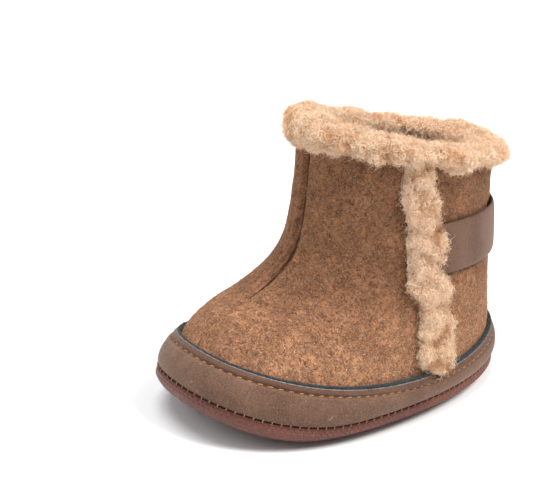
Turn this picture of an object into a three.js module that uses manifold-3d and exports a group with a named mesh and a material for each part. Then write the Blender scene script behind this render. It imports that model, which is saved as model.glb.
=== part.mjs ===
// A baby's winter bootie for the left foot: felt upper on a rolled rubber sole, with a nubuck rand,
// a pile fleece cuff and placket, and a strap that closes with hook and loop at the inner ankle.
//
// Millimetres. Toe -Y, heel +Y, outer (lateral) side +X, up +Z.
// The origin is the middle of the sole's flat underside.
//
// Every layer is the same surface at another offset. A place on that surface is an angle round the
// foot (0 at the toe, 90 degrees on the lateral side, 180 at the heel) and a level, which counts the
// sections below from the sole line to the crown. Offset is the distance out from the felt's face.

import * as THREE from "three";
import { mergeVertices } from "three/addons/utils/BufferGeometryUtils.js";
import Module from "manifold-3d";

const wasm = await Module();
wasm.setup();

// ---------------------------------------------------------------- driving dimensions

const SOLE_LENGTH = 120;
const TOE_SPRING = 9.4; // how far the toe end of the sole curls up
const TOE_SPRING_START = -18; // the underside is flat behind this y
const HEEL_LIFT = 1.1;
const HEEL_LIFT_START = 30; // and in front of this one
const SOLE_LINE = 5.7; // height of the groove between sole and rand

const FELT = 1.6;
const LINING = { inner: -4.9, outer: -1.9 };
const RAND = { inner: 1.0, bottom: 1.5, top: 2.2, bulge: 0.8, lip: 1.3 };
const BACKING = { inner: 0.3, outer: 0.7, depth: 6 };
const PILE = 4.8; // how far the pile fleece stands off the felt
const STRAP = { low: 43.2, high: 58.8, inner: 1.4, outer: 2.4, front: 14 };
const STRAP_BACKING = { inner: 0.3, outer: 1.1, inset: 1.2 };
const GAP = 0.3; // between pieces that touch
const SEAM_GAP = 1.2; // valley between two sewn panels, which holds the seam thread

const CUFF_LEVEL = 8; // lower edge of the cuff
const RIM_LEVEL = 9.05; // where felt and lining end inside the cuff
const RAND_LEVEL = 1; // upper edge of the rand's felt backing

// The placket is a strip up the lateral side that leans forwards as it rises.
const PLACKET = { y: 16.5, z: 12, lean: -0.106, half: 7.6 };
const SLIT = { back: 5.2, bevel: 0.5, gap: 0.6, liningTrim: 1.5 }; // the slit lies under its rear edge

const FLAP = { footZ: 24, collarZ: 83, collarY: -9, footOffset: 1.5, collarOffset: 4, opens: 45 };
const STRAP_HINGE_X = -8; // the strap's free end starts here, just past the middle of the heel

const COLUMNS = 40; // steps round the foot
const FELT_LEVELS = [0, 0.5, 1, 2, 3, 4, 5, 6.5, 8, RIM_LEVEL];
const THREAD_SIDES = 5;
const STITCH_STEPS = 60; // along the two long rows of stitches
const REACH = 300; // larger than the bootie in every direction

// ---------------------------------------------------------------- the bootie's surface

// One section: its front and back points on the centre line as [y, z], half its width, how much
// wider it is at the front (ball), how far its sides hang below a straight line between the two
// points (sag), how far its middle curves to the lateral side (bend), and its squareness, from 1
// for an ellipse down.
function section(front, back, half, ball, sag, bend, square) {
  const ends = { frontY: front[0], frontZ: front[1], backY: back[0], backZ: back[1] };
  return { ...ends, half, ball, sag, bend, square };
}

const HALF_LENGTH = SOLE_LENGTH / 2 - 1.6; // the rand is 1.6 thick at the sole line
const SECTIONS = [
  section([-HALF_LENGTH, SOLE_LINE], [HALF_LENGTH, SOLE_LINE], 32.4, 5.8, 0, 1.3, 0.88), // sole line
  section([-51.4, 25.0], [57.5, 17.3], 30.1, 4.6, 7.1, 1.3, 0.88), // rand edge
  section([-43.5, 32.4], [56.4, 24.6], 29.2, 2.6, 6.2, 1.0, 0.9), // toe cap
  section([-33.5, 37.0], [55.6, 31.4], 28.0, 0.8, 4.6, 0.7, 0.93), // vamp
  section([-24.3, 42.6], [55.0, 38.2], 26.8, -0.3, 2.6, 0.3, 0.95), // instep
  section([-18.2, 49.4], [54.6, 45.2], 25.6, 0, 1.0, 0, 0.96), // ankle
  section([-15.8, 57.6], [54.3, 51.8], 24.6, 0, 0.3, 0, 0.97), // strap
  section([-14.6, 69.0], [54.2, 60.0], 23.9, 0, 0, 0, 0.97), // shaft
  section([-13.8, 81.5], [54.4, 71.5], 23.8, 0, -0.3, 0, 0.97), // cuff's lower edge
  section([-13.4, 88.0], [54.6, 75.0], 23.9, 0, 0.3, 0, 0.97), // rim
  section([-13.2, 93.0], [54.7, 77.6], 23.9, 0, 0.8, 0, 0.97), // crown
];

function catmullRom(a, b, c, d, t) {
  return b + 0.5 * t * (c - a + t * (2 * a - 5 * b + 4 * c - d + t * (3 * (b - c) + d - a)));
}

function sectionAt(level) {
  const last = SECTIONS.length - 1;
  const i = Math.min(Math.max(Math.floor(level), 0), last - 1);
  const before = SECTIONS[Math.max(i - 1, 0)];
  const after = SECTIONS[Math.min(i + 2, last)];
  const result = {};
  for (const key of Object.keys(SECTIONS[0])) {
    const [b, c] = [SECTIONS[i][key], SECTIONS[i + 1][key]];
    const a = i > 0 ? before[key] : 2 * b - c;
    const d = i + 2 <= last ? after[key] : 2 * c - b;
    result[key] = catmullRom(a, b, c, d, level - i);
  }
  return result;
}

function signedPower(value, power) {
  return Math.sign(value) * Math.abs(value) ** power;
}

// How far the sole has curled up at this y.
function soleLift(y) {
  const half = SOLE_LENGTH / 2;
  const toe = Math.max(0, (TOE_SPRING_START - y) / (half + TOE_SPRING_START));
  const heel = Math.max(0, (y - HEEL_LIFT_START) / (half - HEEL_LIFT_START));
  return TOE_SPRING * toe ** 1.9 + HEEL_LIFT * heel ** 2;
}

function facePoint(angle, level) {
  const s = sectionAt(level);
  const along = signedPower(Math.cos(angle), s.square);
  const across = signedPower(Math.sin(angle), s.square);
  const side = 1 - along * along;
  const y = (s.frontY + s.backY) / 2 + ((s.frontY - s.backY) / 2) * along;
  const z = (s.frontZ + s.backZ) / 2 + ((s.frontZ - s.backZ) / 2) * along - s.sag * side;
  return new THREE.Vector3(
    across * (s.half + s.ball * along) + s.bend * side,
    y,
    z + soleLift(y) * Math.max(0, 1 - level),
  );
}

function faceNormal(angle, level) {
  const step = 1e-3;
  const round = facePoint(angle + step, level).sub(facePoint(angle - step, level));
  const up = facePoint(angle, level + step).sub(facePoint(angle, level - step));
  return round.cross(up).normalize();
}

function at(angle, level, offset) {
  return facePoint(angle, level).addScaledVector(faceNormal(angle, level), offset);
}

// The level a given distance up the surface from another one.
function climb(angle, level, distance) {
  const step = 0.05;
  const rise = facePoint(angle, level + step).distanceTo(facePoint(angle, level - step));
  return level + (distance * 2 * step) / rise;
}

// Halves a range until value(x) reaches the target; value rises with x.
function solve(value, target, low, high) {
  for (let i = 0; i < 40; i++) {
    const middle = (low + high) / 2;
    if (value(middle) < target) low = middle;
    else high = middle;
  }
  return (low + high) / 2;
}

function levelAtHeight(angle, z) {
  return solve((level) => facePoint(angle, level).z, z, RAND_LEVEL, SECTIONS.length - 1);
}

function placketY(z) {
  return PLACKET.y + PLACKET.lean * (z - PLACKET.z);
}

// A point on the lateral side at the given y and z.
function lateralPoint(y, z, offset) {
  let level = levelAtHeight(Math.PI / 2, z);
  let angle = Math.PI / 2;
  for (let i = 0; i < 6; i++) {
    angle = solve((a) => facePoint(a, level).y, y, 0, Math.PI);
    level = levelAtHeight(angle, z);
  }
  return at(angle, level, offset);
}

// ---------------------------------------------------------------- solids

function solidOf(geometry) {
  const bare = new THREE.BufferGeometry();
  bare.setAttribute("position", geometry.getAttribute("position").clone());
  if (geometry.index) bare.setIndex(geometry.index.clone());
  const merged = mergeVertices(bare, 1e-4);
  const vertProperties = new Float32Array(merged.attributes.position.array);
  const triVerts = new Uint32Array(merged.index.array);
  return new wasm.Manifold(new wasm.Mesh({ numProp: 3, vertProperties, triVerts }));
}

function geometryOf(solid) {
  const mesh = solid.getMesh();
  const geometry = new THREE.BufferGeometry();
  geometry.setAttribute("position", new THREE.BufferAttribute(new Float32Array(mesh.vertProperties), 3));
  geometry.setIndex(new THREE.BufferAttribute(new Uint32Array(mesh.triVerts), 1));
  return geometry;
}

// Joins loops of points, each to the next. Closed: the last loop meets the first. Otherwise the two
// end loops, which lie level, are capped.
function skin(loops, closed) {
  const size = loops[0].length;
  const index = [];
  const pairs = closed ? loops.length : loops.length - 1;
  for (let i = 0; i < pairs; i++) {
    const [here, next] = [i * size, ((i + 1) % loops.length) * size];
    for (let j = 0; j < size; j++) {
      const k = (j + 1) % size;
      index.push(here + j, next + j, next + k, here + j, next + k, here + k);
    }
  }
  if (!closed) {
    const flat = (loop) => loop.map((p) => new THREE.Vector2(p.x, p.y));
    const end = (loops.length - 1) * size;
    const first = THREE.ShapeUtils.triangulateShape(flat(loops[0]), []);
    const last = THREE.ShapeUtils.triangulateShape(flat(loops[loops.length - 1]), []);
    for (const [a, b, c] of first) index.push(a, b, c);
    for (const [a, b, c] of last) index.push(end + a, end + c, end + b);
  }
  const geometry = new THREE.BufferGeometry().setFromPoints(loops.flat());
  if (volumeOf(geometry, index) < 0) index.reverse();
  geometry.setIndex(index);
  return solidOf(geometry);
}

function volumeOf(geometry, index) {
  const position = geometry.getAttribute("position");
  const corner = (i) => new THREE.Vector3().fromBufferAttribute(position, index[i]);
  let sum = 0;
  for (let i = 0; i < index.length; i += 3) sum += corner(i).dot(corner(i + 1).cross(corner(i + 2)));
  return sum / 6;
}

// A ring round the whole foot whose profile at each angle is a closed loop of points.
function ring(profile) {
  const loops = [];
  for (let i = 0; i < COLUMNS; i++) loops.push(profile((i * 2 * Math.PI) / COLUMNS));
  return skin(loops, true);
}

// A ring of even thickness; levels(angle) lists its rows from the bottom up.
function layer(levels, inner, outer) {
  return ring((angle) => {
    const rows = levels(angle);
    const outside = rows.map((level) => at(angle, level, outer));
    const inside = rows.map((level) => at(angle, level, inner));
    return [...outside, ...inside.reverse()];
  });
}

function rowsBetween(low, high, steps) {
  return Array.from({ length: steps + 1 }, (_, i) => low + ((high - low) * i) / steps);
}

// The space on the side of a plane that its normal points to.
function halfSpace(point, normal, gap = 0) {
  const up = normal.clone().normalize();
  const box = new THREE.BoxGeometry(REACH, REACH, REACH);
  box.translate(0, 0, REACH / 2 + gap);
  box.applyQuaternion(new THREE.Quaternion().setFromUnitVectors(new THREE.Vector3(0, 0, 1), up));
  box.translate(point.x, point.y, point.z);
  return solidOf(box);
}

function keep(solid, ...spaces) {
  return spaces.reduce((rest, space) => rest.intersect(space), solid);
}

// A thread laid round in a closed loop. place(i) gives a point and the surface normal there.
function threadLoop(count, radius, place) {
  const stations = Array.from({ length: count }, (_, i) => place(i));
  const loops = stations.map(({ point, normal }, i) => {
    const ahead = stations[(i + 1) % count].point;
    const behind = stations[(i + count - 1) % count].point;
    const side = ahead.clone().sub(behind).cross(normal).normalize();
    return Array.from({ length: THREAD_SIDES }, (_, k) => {
      const turn = (k * 2 * Math.PI) / THREAD_SIDES;
      const out = normal.clone().multiplyScalar(radius * Math.cos(turn));
      return point.clone().add(out).addScaledVector(side, radius * Math.sin(turn));
    });
  });
  return skin(loops, true);
}

// A thread along a seam: a round section drawn along a curve.
function threadAlong(points, radius) {
  const round = new THREE.Shape().absarc(0, 0, radius, 0, 2 * Math.PI);
  return new THREE.ExtrudeGeometry(round, {
    curveSegments: 3,
    steps: 16,
    extrudePath: new THREE.CatmullRomCurve3(points),
  });
}

// ---------------------------------------------------------------- cutting planes

const X = new THREE.Vector3(1, 0, 0);
const Y = new THREE.Vector3(0, 1, 0);
const ORIGIN = new THREE.Vector3();
const reversed = (vector) => vector.clone().negate();

const lateralSide = halfSpace(ORIGIN, X, GAP / 2);
const medialSide = halfSpace(ORIGIN, reversed(X), GAP / 2);
const lateralOfSeam = halfSpace(ORIGIN, X, SEAM_GAP / 2);
const medialOfSeam = halfSpace(ORIGIN, reversed(X), SEAM_GAP / 2);

// Everything behind (or ahead of) a line that runs beside the placket's centre line.
const placketNormal = new THREE.Vector3(0, 1, -PLACKET.lean).normalize();
const placketLine = (shift) => new THREE.Vector3(0, PLACKET.y + shift, PLACKET.z);
const behindPlacket = (shift) => halfSpace(placketLine(shift), placketNormal);
const aheadOfPlacket = (shift) => halfSpace(placketLine(shift), reversed(placketNormal));

// The slit runs beside the placket's centre line. Its faces are bevelled, so that the rear panel
// reaches a little under the flap and the flap's inner edge clears it as it swings out.
const slitEnd = (z) => lateralPoint(placketY(z) + SLIT.back, z, 0);
const slitPoint = slitEnd(FLAP.footZ);
const slitRun = slitEnd(FLAP.collarZ).sub(slitPoint);
const slitNormal = slitRun.cross(new THREE.Vector3(1, SLIT.bevel, 0)).normalize();
const slitAhead = halfSpace(slitPoint, reversed(slitNormal), SLIT.gap / 2);
const slitBehind = halfSpace(slitPoint, slitNormal, SLIT.gap / 2);
const slitLiningAhead = halfSpace(slitPoint, reversed(slitNormal), SLIT.liningTrim);

// The flap bends along a line from the foot of the slit, forwards and up, to the collar.
const hingeFoot = lateralPoint(slitPoint.y, FLAP.footZ, FLAP.footOffset);
const hingeCollar = lateralPoint(FLAP.collarY, FLAP.collarZ, FLAP.collarOffset);
const hingeAxis = hingeFoot.clone().sub(hingeCollar).normalize();
const hingeMiddle = hingeFoot.clone().add(hingeCollar).multiplyScalar(0.5);
const shaftAxisPoint = new THREE.Vector3(0, 20, hingeMiddle.z);
const hingeOut = hingeMiddle.clone().sub(shaftAxisPoint);
hingeOut.addScaledVector(hingeAxis, -hingeOut.dot(hingeAxis)).normalize();
const towardsFlap = hingeOut.clone().cross(hingeAxis).normalize();
if (towardsFlap.y < 0) towardsFlap.negate();
const openFace = towardsFlap.clone().applyAxisAngle(hingeAxis, THREE.MathUtils.degToRad(FLAP.opens));
const flapSide = halfSpace(hingeFoot, towardsFlap, GAP / 2);
const fixedSide = halfSpace(hingeFoot, reversed(towardsFlap), GAP / 2);
const clearOfOpenFlap = halfSpace(hingeFoot, reversed(openFace), GAP / 2);

// ---------------------------------------------------------------- sole

// A loop round the foot at the sole line, moved in from the sole's edge and to another height.
function soleLoop(inset, height, scale = 1) {
  return Array.from({ length: COLUMNS }, (_, i) => {
    const angle = (i * 2 * Math.PI) / COLUMNS;
    const normal = faceNormal(angle, 0).setZ(0).normalize();
    const point = facePoint(angle, 0).addScaledVector(normal, RAND.bottom - inset);
    point.set(point.x * scale, point.y * scale, 0);
    return point.setZ(height + soleLift(point.y));
  });
}

const INNER_RINGS = [0.3, 0.7];

// A flat layer of the sole that follows its curl, from one height to another.
function soleLayer(lowInset, low, highInset, high) {
  const under = INNER_RINGS.map((scale) => soleLoop(lowInset, low, scale));
  const over = INNER_RINGS.map((scale) => soleLoop(highInset, high, scale)).reverse();
  return skin([...under, soleLoop(lowInset, low), soleLoop(highInset, high), ...over], false);
}

// A dish: sheet rubber that lies flat underfoot and rolls up to the groove at its rim.
function outsole() {
  const thickness = 1.6;
  const floor = INNER_RINGS.map((scale) => soleLoop(4.5, thickness, scale));
  const under = INNER_RINGS.map((scale) => soleLoop(4.5, 0, scale)).reverse();
  const wall = [
    [4.5, thickness],
    [2.4, 3.2],
    [1.7, 4.9],
    [0.4, 4.9],
    [0, 4.3],
    [0.2, 2.8],
    [1.3, 0.9],
    [4.5, 0],
  ];
  return skin([...floor, ...wall.map(([inset, height]) => soleLoop(inset, height)), ...under], false);
}

// ---------------------------------------------------------------- rand

const randTop = (angle) => climb(angle, RAND_LEVEL, -RAND.lip);
const randBottom = (angle) => climb(angle, 0, 0.7);

// A band of nubuck that bulges a little between the groove and its upper edge.
function randOffset(share) {
  return RAND.bottom + (RAND.top - RAND.bottom) * share + RAND.bulge * Math.sin(Math.PI * share);
}

function rand() {
  return ring((angle) => {
    const shares = rowsBetween(0, 1, 4);
    const level = (share) => randBottom(angle) + (randTop(angle) - randBottom(angle)) * share;
    const outside = shares.map((share) => at(angle, level(share), randOffset(share)));
    const inside = shares.map((share) => at(angle, level(share), RAND.inner));
    return [...outside, ...inside.reverse()];
  });
}

function randBacking() {
  const rows = (angle) => rowsBetween(climb(angle, RAND_LEVEL, -BACKING.depth), RAND_LEVEL, 2);
  return layer(rows, BACKING.inner, BACKING.outer);
}

// A row of stitches just below the rand's lip.
function randStitching() {
  const radius = 0.35;
  return threadLoop(STITCH_STEPS, radius, (i) => {
    const angle = (i * 2 * Math.PI) / STITCH_STEPS;
    const level = climb(angle, randTop(angle), -2.5);
    const share = (level - randBottom(angle)) / (randTop(angle) - randBottom(angle));
    const offset = randOffset(share) + GAP + radius + 0.1;
    return { point: at(angle, level, offset), normal: faceNormal(angle, level) };
  });
}

// The stitches that hold rand, upper and sole together lie in the groove.
function soleStitching() {
  const radius = 0.35;
  return threadLoop(STITCH_STEPS, radius, (i) => {
    const angle = (i * 2 * Math.PI) / STITCH_STEPS;
    return { point: at(angle, 0, 1.0), normal: faceNormal(angle, 0) };
  });
}

// ---------------------------------------------------------------- pile fleece

// The cuff is folded over the rim: it starts outside, passes over the crown and ends inside.
const CUFF_PROFILE = [
  [CUFF_LEVEL, GAP],
  [CUFF_LEVEL - 0.03, 3.2],
  [CUFF_LEVEL + 0.3, 5.2],
  [CUFF_LEVEL + 0.9, 5.7],
  [9.5, 4.4],
  [9.95, 1.0],
  [10, -2.6],
  [9.75, -5.8],
  [9.2, -7.6],
  [8.5, -7.6],
  [8.3, -6.4],
  [8.32, LINING.inner - GAP],
  [RIM_LEVEL + 0.06, LINING.inner - GAP],
  [RIM_LEVEL + 0.06, GAP],
];

function cuff() {
  return ring((angle) => CUFF_PROFILE.map(([level, offset]) => at(angle, level, offset)));
}

// The placket's strip, from the rand to the cuff.
function placket() {
  const rows = (angle) => rowsBetween(climb(angle, RAND_LEVEL, 0.5), CUFF_LEVEL - 0.06, 7);
  const strip = layer(rows, GAP, PILE);
  return keep(strip, lateralSide, behindPlacket(-PLACKET.half), aheadOfPlacket(PLACKET.half));
}

// ---------------------------------------------------------------- strap and its fastener

function heightRows(low, high) {
  return (angle) => rowsBetween(levelAtHeight(angle, low), levelAtHeight(angle, high), 3);
}

function strapRing(inner, outer, inset) {
  return layer(heightRows(STRAP.low + inset, STRAP.high - inset), inner, outer);
}

const behindStrapFront = halfSpace(new THREE.Vector3(0, STRAP.front, 0), Y);
const strapBandSide = halfSpace(new THREE.Vector3(STRAP_HINGE_X, 0, 0), X, GAP / 2);
const strapEndSide = halfSpace(new THREE.Vector3(STRAP_HINGE_X, 0, 0), reversed(X), GAP / 2);

// The two halves of the fastener are rectangles on the medial ankle.
const LOOP_PATCH = { front: 10, back: 38, low: 44, high: 58, inner: 0.25, outer: 0.6 };
const HOOK_PATCH = { front: 16, back: 33, low: 46.5, high: 55.5, inner: 0.8, outer: 1.1 };

function patch(p) {
  const behindFront = halfSpace(new THREE.Vector3(0, p.front, 0), Y);
  const aheadOfBack = halfSpace(new THREE.Vector3(0, p.back, 0), reversed(Y));
  return keep(layer(heightRows(p.low, p.high), p.inner, p.outer), medialSide, behindFront, aheadOfBack);
}

// Stitches that run round inside a patch's edge.
function patchStitching(p, inset, offset) {
  const radius = 0.25;
  const medialAngle = (y) => 2 * Math.PI - solve((a) => facePoint(a, 5.5).y, y, 0, Math.PI);
  const [front, back] = [medialAngle(p.front + inset), medialAngle(p.back - inset)];
  const [low, high] = [p.low + inset, p.high - inset];
  const corners = [
    [front, low],
    [back, low],
    [back, high],
    [front, high],
  ];
  const perSide = 4;
  return threadLoop(4 * perSide, radius, (i) => {
    const [from, to] = [corners[Math.floor(i / perSide)], corners[(Math.floor(i / perSide) + 1) % 4]];
    const share = (i % perSide) / perSide;
    const angle = from[0] + (to[0] - from[0]) * share;
    const level = levelAtHeight(angle, from[1] + (to[1] - from[1]) * share);
    return { point: at(angle, level, offset), normal: faceNormal(angle, level) };
  });
}

// ---------------------------------------------------------------- upper

const feltTube = layer(() => FELT_LEVELS, -FELT, 0);
const liningTube = layer(() => FELT_LEVELS, LINING.inner, LINING.outer);

// The lateral half ahead of the slit, in one piece with the flap.
const feltAhead = keep(feltTube, lateralOfSeam, slitAhead);
const liningAhead = keep(liningTube, lateralSide, slitAhead);
const flapLining = keep(liningAhead, flapSide, slitLiningAhead);
const cuffRing = cuff();
const cuffAhead = keep(cuffRing, lateralSide, slitAhead);
const placketStrip = placket();
const strapClearance = strapRing(0, STRAP.outer + GAP, -GAP);
const strapBand = keep(strapRing(STRAP.inner, STRAP.outer, 0), behindStrapFront);
const strapLining = keep(
  strapRing(STRAP_BACKING.inner, STRAP_BACKING.outer, STRAP_BACKING.inset),
  behindStrapFront,
);

// Seam threads run in the valleys at the front and back, from the rand to the cuff.
function seamThread(angle) {
  const rows = rowsBetween(climb(angle, RAND_LEVEL, 1.5), CUFF_LEVEL - 0.1, 8);
  return threadAlong(
    rows.map((level) => at(angle, level, -FELT / 2)),
    0.3,
  );
}

// ---------------------------------------------------------------- assembly

const FINISH = {
  rubber: { color: 0x6b3a30, roughness: 0.6 },
  foam: { color: 0xd8cfc0, roughness: 0.95 },
  board: { color: 0xc9b79a, roughness: 0.9 },
  fleece: { color: 0xc79f78, roughness: 1 },
  pile: { color: 0xcc9a6c, roughness: 1 },
  nubuck: { color: 0x7a5138, roughness: 0.85 },
  felt: { color: 0x8e6a42, roughness: 1 },
  greyFelt: { color: 0x3c4248, roughness: 1 },
  strap: { color: 0x6e4a36, roughness: 0.8 },
  thread: { color: 0xa5683c, roughness: 0.7 },
  hookLoop: { color: 0x4a3426, roughness: 0.95 },
};

const group = new THREE.Group();

function add(name, shape, finish) {
  const geometry = shape.isBufferGeometry ? shape : geometryOf(shape);
  const mesh = new THREE.Mesh(geometry, new THREE.MeshStandardMaterial({ ...finish, metalness: 0 }));
  mesh.name = name;
  group.add(mesh);
}

add("outsole", outsole(), FINISH.rubber);
add("midsole_foam", soleLayer(4.9, 1.9, 4.5, 3.6), FINISH.foam);
add("insole_board", soleLayer(8.2, 6.2, 8.8, 7.2), FINISH.board);
add("footbed_fleece", soleLayer(9.2, 7.5, 11.6, 10.5), FINISH.fleece);

add("rand", rand(), FINISH.nubuck);
add("rand_felt_backing", randBacking(), FINISH.greyFelt);
add("rand_stitching", randStitching(), FINISH.thread);
add("sole_stitching", soleStitching(), FINISH.thread);

add("medial_panel", keep(feltTube, medialOfSeam), FINISH.felt);
add("lateral_front_panel", keep(feltAhead, fixedSide, clearOfOpenFlap), FINISH.felt);
add("flap_panel", keep(feltAhead, flapSide), FINISH.felt);
add("lateral_rear_panel", keep(feltTube, lateralOfSeam, slitBehind), FINISH.felt);
add("front_seam_thread", seamThread(0), FINISH.thread);
add("back_seam_thread", seamThread(Math.PI), FINISH.thread);

add("medial_lining", keep(liningTube, medialSide), FINISH.fleece);
add("lateral_front_lining", keep(liningAhead, fixedSide), FINISH.fleece);
add("flap_lining", flapLining, FINISH.fleece);
add("lateral_rear_lining", keep(liningTube, lateralSide, slitBehind), FINISH.fleece);

add("medial_cuff", keep(cuffRing, medialSide), FINISH.pile);
add("lateral_front_cuff", keep(cuffAhead, fixedSide, clearOfOpenFlap), FINISH.pile);
add("flap_cuff", keep(cuffAhead, flapSide), FINISH.pile);
add("lateral_rear_cuff", keep(cuffRing, lateralSide, slitBehind), FINISH.pile);
add("lower_placket", keep(placketStrip, fixedSide, clearOfOpenFlap), FINISH.pile);
add("flap_placket", keep(placketStrip, flapSide).subtract(strapClearance), FINISH.pile);

add("strap_band", keep(strapBand, strapBandSide, flapSide), FINISH.strap);
add("strap_backing", keep(strapLining, strapBandSide, flapSide), FINISH.fleece);
add("strap_end", keep(strapBand, strapEndSide), FINISH.strap);
add("hook_patch", patch(HOOK_PATCH), FINISH.hookLoop);
add("hook_patch_stitching", patchStitching(HOOK_PATCH, 0.8, STRAP.outer + GAP + 0.25), FINISH.thread);
add("loop_patch", patch(LOOP_PATCH), FINISH.hookLoop);
add("loop_patch_stitching", patchStitching(LOOP_PATCH, 1, 0.95), FINISH.thread);

export default group;
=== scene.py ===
"""Looks of the baby bootie: felt, pile fleece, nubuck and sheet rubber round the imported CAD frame.

Shapes are worked out in millimetres and turned into metres where a mesh is made. Toe -Y, heel +Y,
lateral side +X. A place on the bootie is an angle round the foot (0 at the toe, pi at the heel) and
a level, which counts the sections from the sole line to the crown, as in the CAD source. Offset is
the distance out from the felt's face.
"""

import math

import bmesh
import bpy
import numpy as np
from mathutils import Matrix, Vector


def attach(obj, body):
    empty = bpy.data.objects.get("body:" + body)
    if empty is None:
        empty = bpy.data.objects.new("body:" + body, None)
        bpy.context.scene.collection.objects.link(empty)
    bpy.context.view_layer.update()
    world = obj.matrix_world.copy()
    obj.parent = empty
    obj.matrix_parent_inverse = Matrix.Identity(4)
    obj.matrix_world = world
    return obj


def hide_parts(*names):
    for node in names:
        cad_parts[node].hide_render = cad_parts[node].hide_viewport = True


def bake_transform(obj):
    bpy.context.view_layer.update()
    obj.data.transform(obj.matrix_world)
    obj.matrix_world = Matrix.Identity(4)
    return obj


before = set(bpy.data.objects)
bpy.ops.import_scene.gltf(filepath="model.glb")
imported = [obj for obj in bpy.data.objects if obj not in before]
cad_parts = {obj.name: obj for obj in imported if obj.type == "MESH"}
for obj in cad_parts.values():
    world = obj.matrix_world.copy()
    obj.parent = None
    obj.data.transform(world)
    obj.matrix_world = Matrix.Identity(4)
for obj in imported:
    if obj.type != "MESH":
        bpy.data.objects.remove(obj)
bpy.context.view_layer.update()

MM = 0.001
PI = math.pi

# ------------------------------------------------------------------ the bootie's surface

# Columns: front y and z, back y and z, half width, ball, sag, bend, squareness.
SECTIONS = np.array(
    [
        (-58.4, 5.7, 58.4, 5.7, 32.4, 5.8, 0.0, 1.3, 0.88),  # sole line
        (-51.4, 25.0, 57.5, 17.3, 30.1, 4.6, 7.1, 1.3, 0.88),  # rand edge
        (-43.5, 32.4, 56.4, 24.6, 29.2, 2.6, 6.2, 1.0, 0.90),  # toe cap
        (-33.5, 37.0, 55.6, 31.4, 28.0, 0.8, 4.6, 0.7, 0.93),  # vamp
        (-24.3, 42.6, 55.0, 38.2, 26.8, -0.3, 2.6, 0.3, 0.95),  # instep
        (-18.2, 49.4, 54.6, 45.2, 25.6, 0.0, 1.0, 0.0, 0.96),  # ankle
        (-15.8, 57.6, 54.3, 51.8, 24.6, 0.0, 0.3, 0.0, 0.97),  # strap
        (-14.6, 69.0, 54.2, 60.0, 23.9, 0.0, 0.0, 0.0, 0.97),  # shaft
        (-13.8, 81.5, 54.4, 71.5, 23.8, 0.0, -0.3, 0.0, 0.97),  # cuff's lower edge
        (-13.4, 88.0, 54.6, 75.0, 23.9, 0.0, 0.3, 0.0, 0.97),  # rim
        (-13.2, 93.0, 54.7, 77.6, 23.9, 0.0, 0.8, 0.0, 0.97),  # crown
    ]
)
TOE_SPRING, TOE_SPRING_START = 9.4, -18.0
HEEL_LIFT, HEEL_LIFT_START = 1.1, 30.0
HALF_SOLE = 60.0
RAND_LEVEL, CUFF_LEVEL, RIM_LEVEL = 1.0, 8.0, 9.05
FELT = 1.6
LINING_INNER, LINING_OUTER = -4.9, -1.9
RAND_LIP = 1.3  # from the rand's top edge to the top of its felt backing
PLACKET_Y, PLACKET_Z, PLACKET_LEAN, PLACKET_HALF = 16.5, 12.0, -0.106, 7.6
SLIT_BACK = 5.2
STRAP_LOW, STRAP_HIGH, STRAP_INNER, STRAP_OUTER, STRAP_FRONT = 43.2, 58.8, 1.4, 2.4, 14.0


def smooth_curve(points, place):
    """Points on a smooth curve through the given ones, at places that count them from 0."""
    ends = np.vstack([2 * points[0] - points[1], points, 2 * points[-1] - points[-2]])
    i = np.clip(np.floor(place).astype(int), 0, len(points) - 2)
    t = (place - i)[..., None]
    a, b, c, d = ends[i], ends[i + 1], ends[i + 2], ends[i + 3]
    return b + 0.5 * t * (c - a + t * (2 * a - 5 * b + 4 * c - d + t * (3 * (b - c) + d - a)))


def ramp(distance, length):
    """0 up to the start of a length, and 1 from its end on."""
    return np.clip(distance / length, 0, 1)


def bell(distance, width):
    """1 at no distance, and next to nothing beyond twice the width."""
    return np.exp(-((distance / width) ** 2))


def signed_power(value, power):
    return np.sign(value) * np.abs(value) ** power


def sole_lift(y):
    toe = np.maximum(0, (TOE_SPRING_START - y) / (HALF_SOLE + TOE_SPRING_START))
    heel = np.maximum(0, (y - HEEL_LIFT_START) / (HALF_SOLE - HEEL_LIFT_START))
    return TOE_SPRING * toe**1.9 + HEEL_LIFT * heel**2


def face(angle, level):
    """Points of the felt's face."""
    angle, level = np.broadcast_arrays(np.asarray(angle, float), np.asarray(level, float))
    s = smooth_curve(SECTIONS, level)
    square = s[..., 8]
    along = signed_power(np.cos(angle), square)
    across = signed_power(np.sin(angle), square)
    side = 1 - along * along
    y = (s[..., 0] + s[..., 2]) / 2 + (s[..., 0] - s[..., 2]) / 2 * along
    z = (s[..., 1] + s[..., 3]) / 2 + (s[..., 1] - s[..., 3]) / 2 * along - s[..., 6] * side
    z = z + sole_lift(y) * np.maximum(0, 1 - level)
    x = across * (s[..., 4] + s[..., 5] * along) + s[..., 7] * side
    return np.stack([x, y, z], -1)


def unit(v):
    return v / np.maximum(np.linalg.norm(v, axis=-1, keepdims=True), 1e-12)


def face_normal(angle, level):
    step = 1e-3
    angle, level = np.broadcast_arrays(np.asarray(angle, float), np.asarray(level, float))
    around = face(angle + step, level) - face(angle - step, level)
    up = face(angle, level + step) - face(angle, level - step)
    return unit(np.cross(around, up))


def at(angle, level, offset):
    """Points a distance out from the felt's face."""
    angle, level, offset = np.broadcast_arrays(angle, level, offset)
    return face(angle, level) + face_normal(angle, level) * offset[..., None]


def climb(angle, level, distance):
    """The level a distance up the surface from another one."""
    step = 0.05
    rise = np.linalg.norm(face(angle, level + step) - face(angle, level - step), axis=-1)
    return level + distance * 2 * step / rise


def halve(too_far, low, high):
    for _ in range(30):
        middle = (low + high) / 2
        far = too_far(middle)
        high = np.where(far, middle, high)
        low = np.where(far, low, middle)
    return (low + high) / 2


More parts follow.
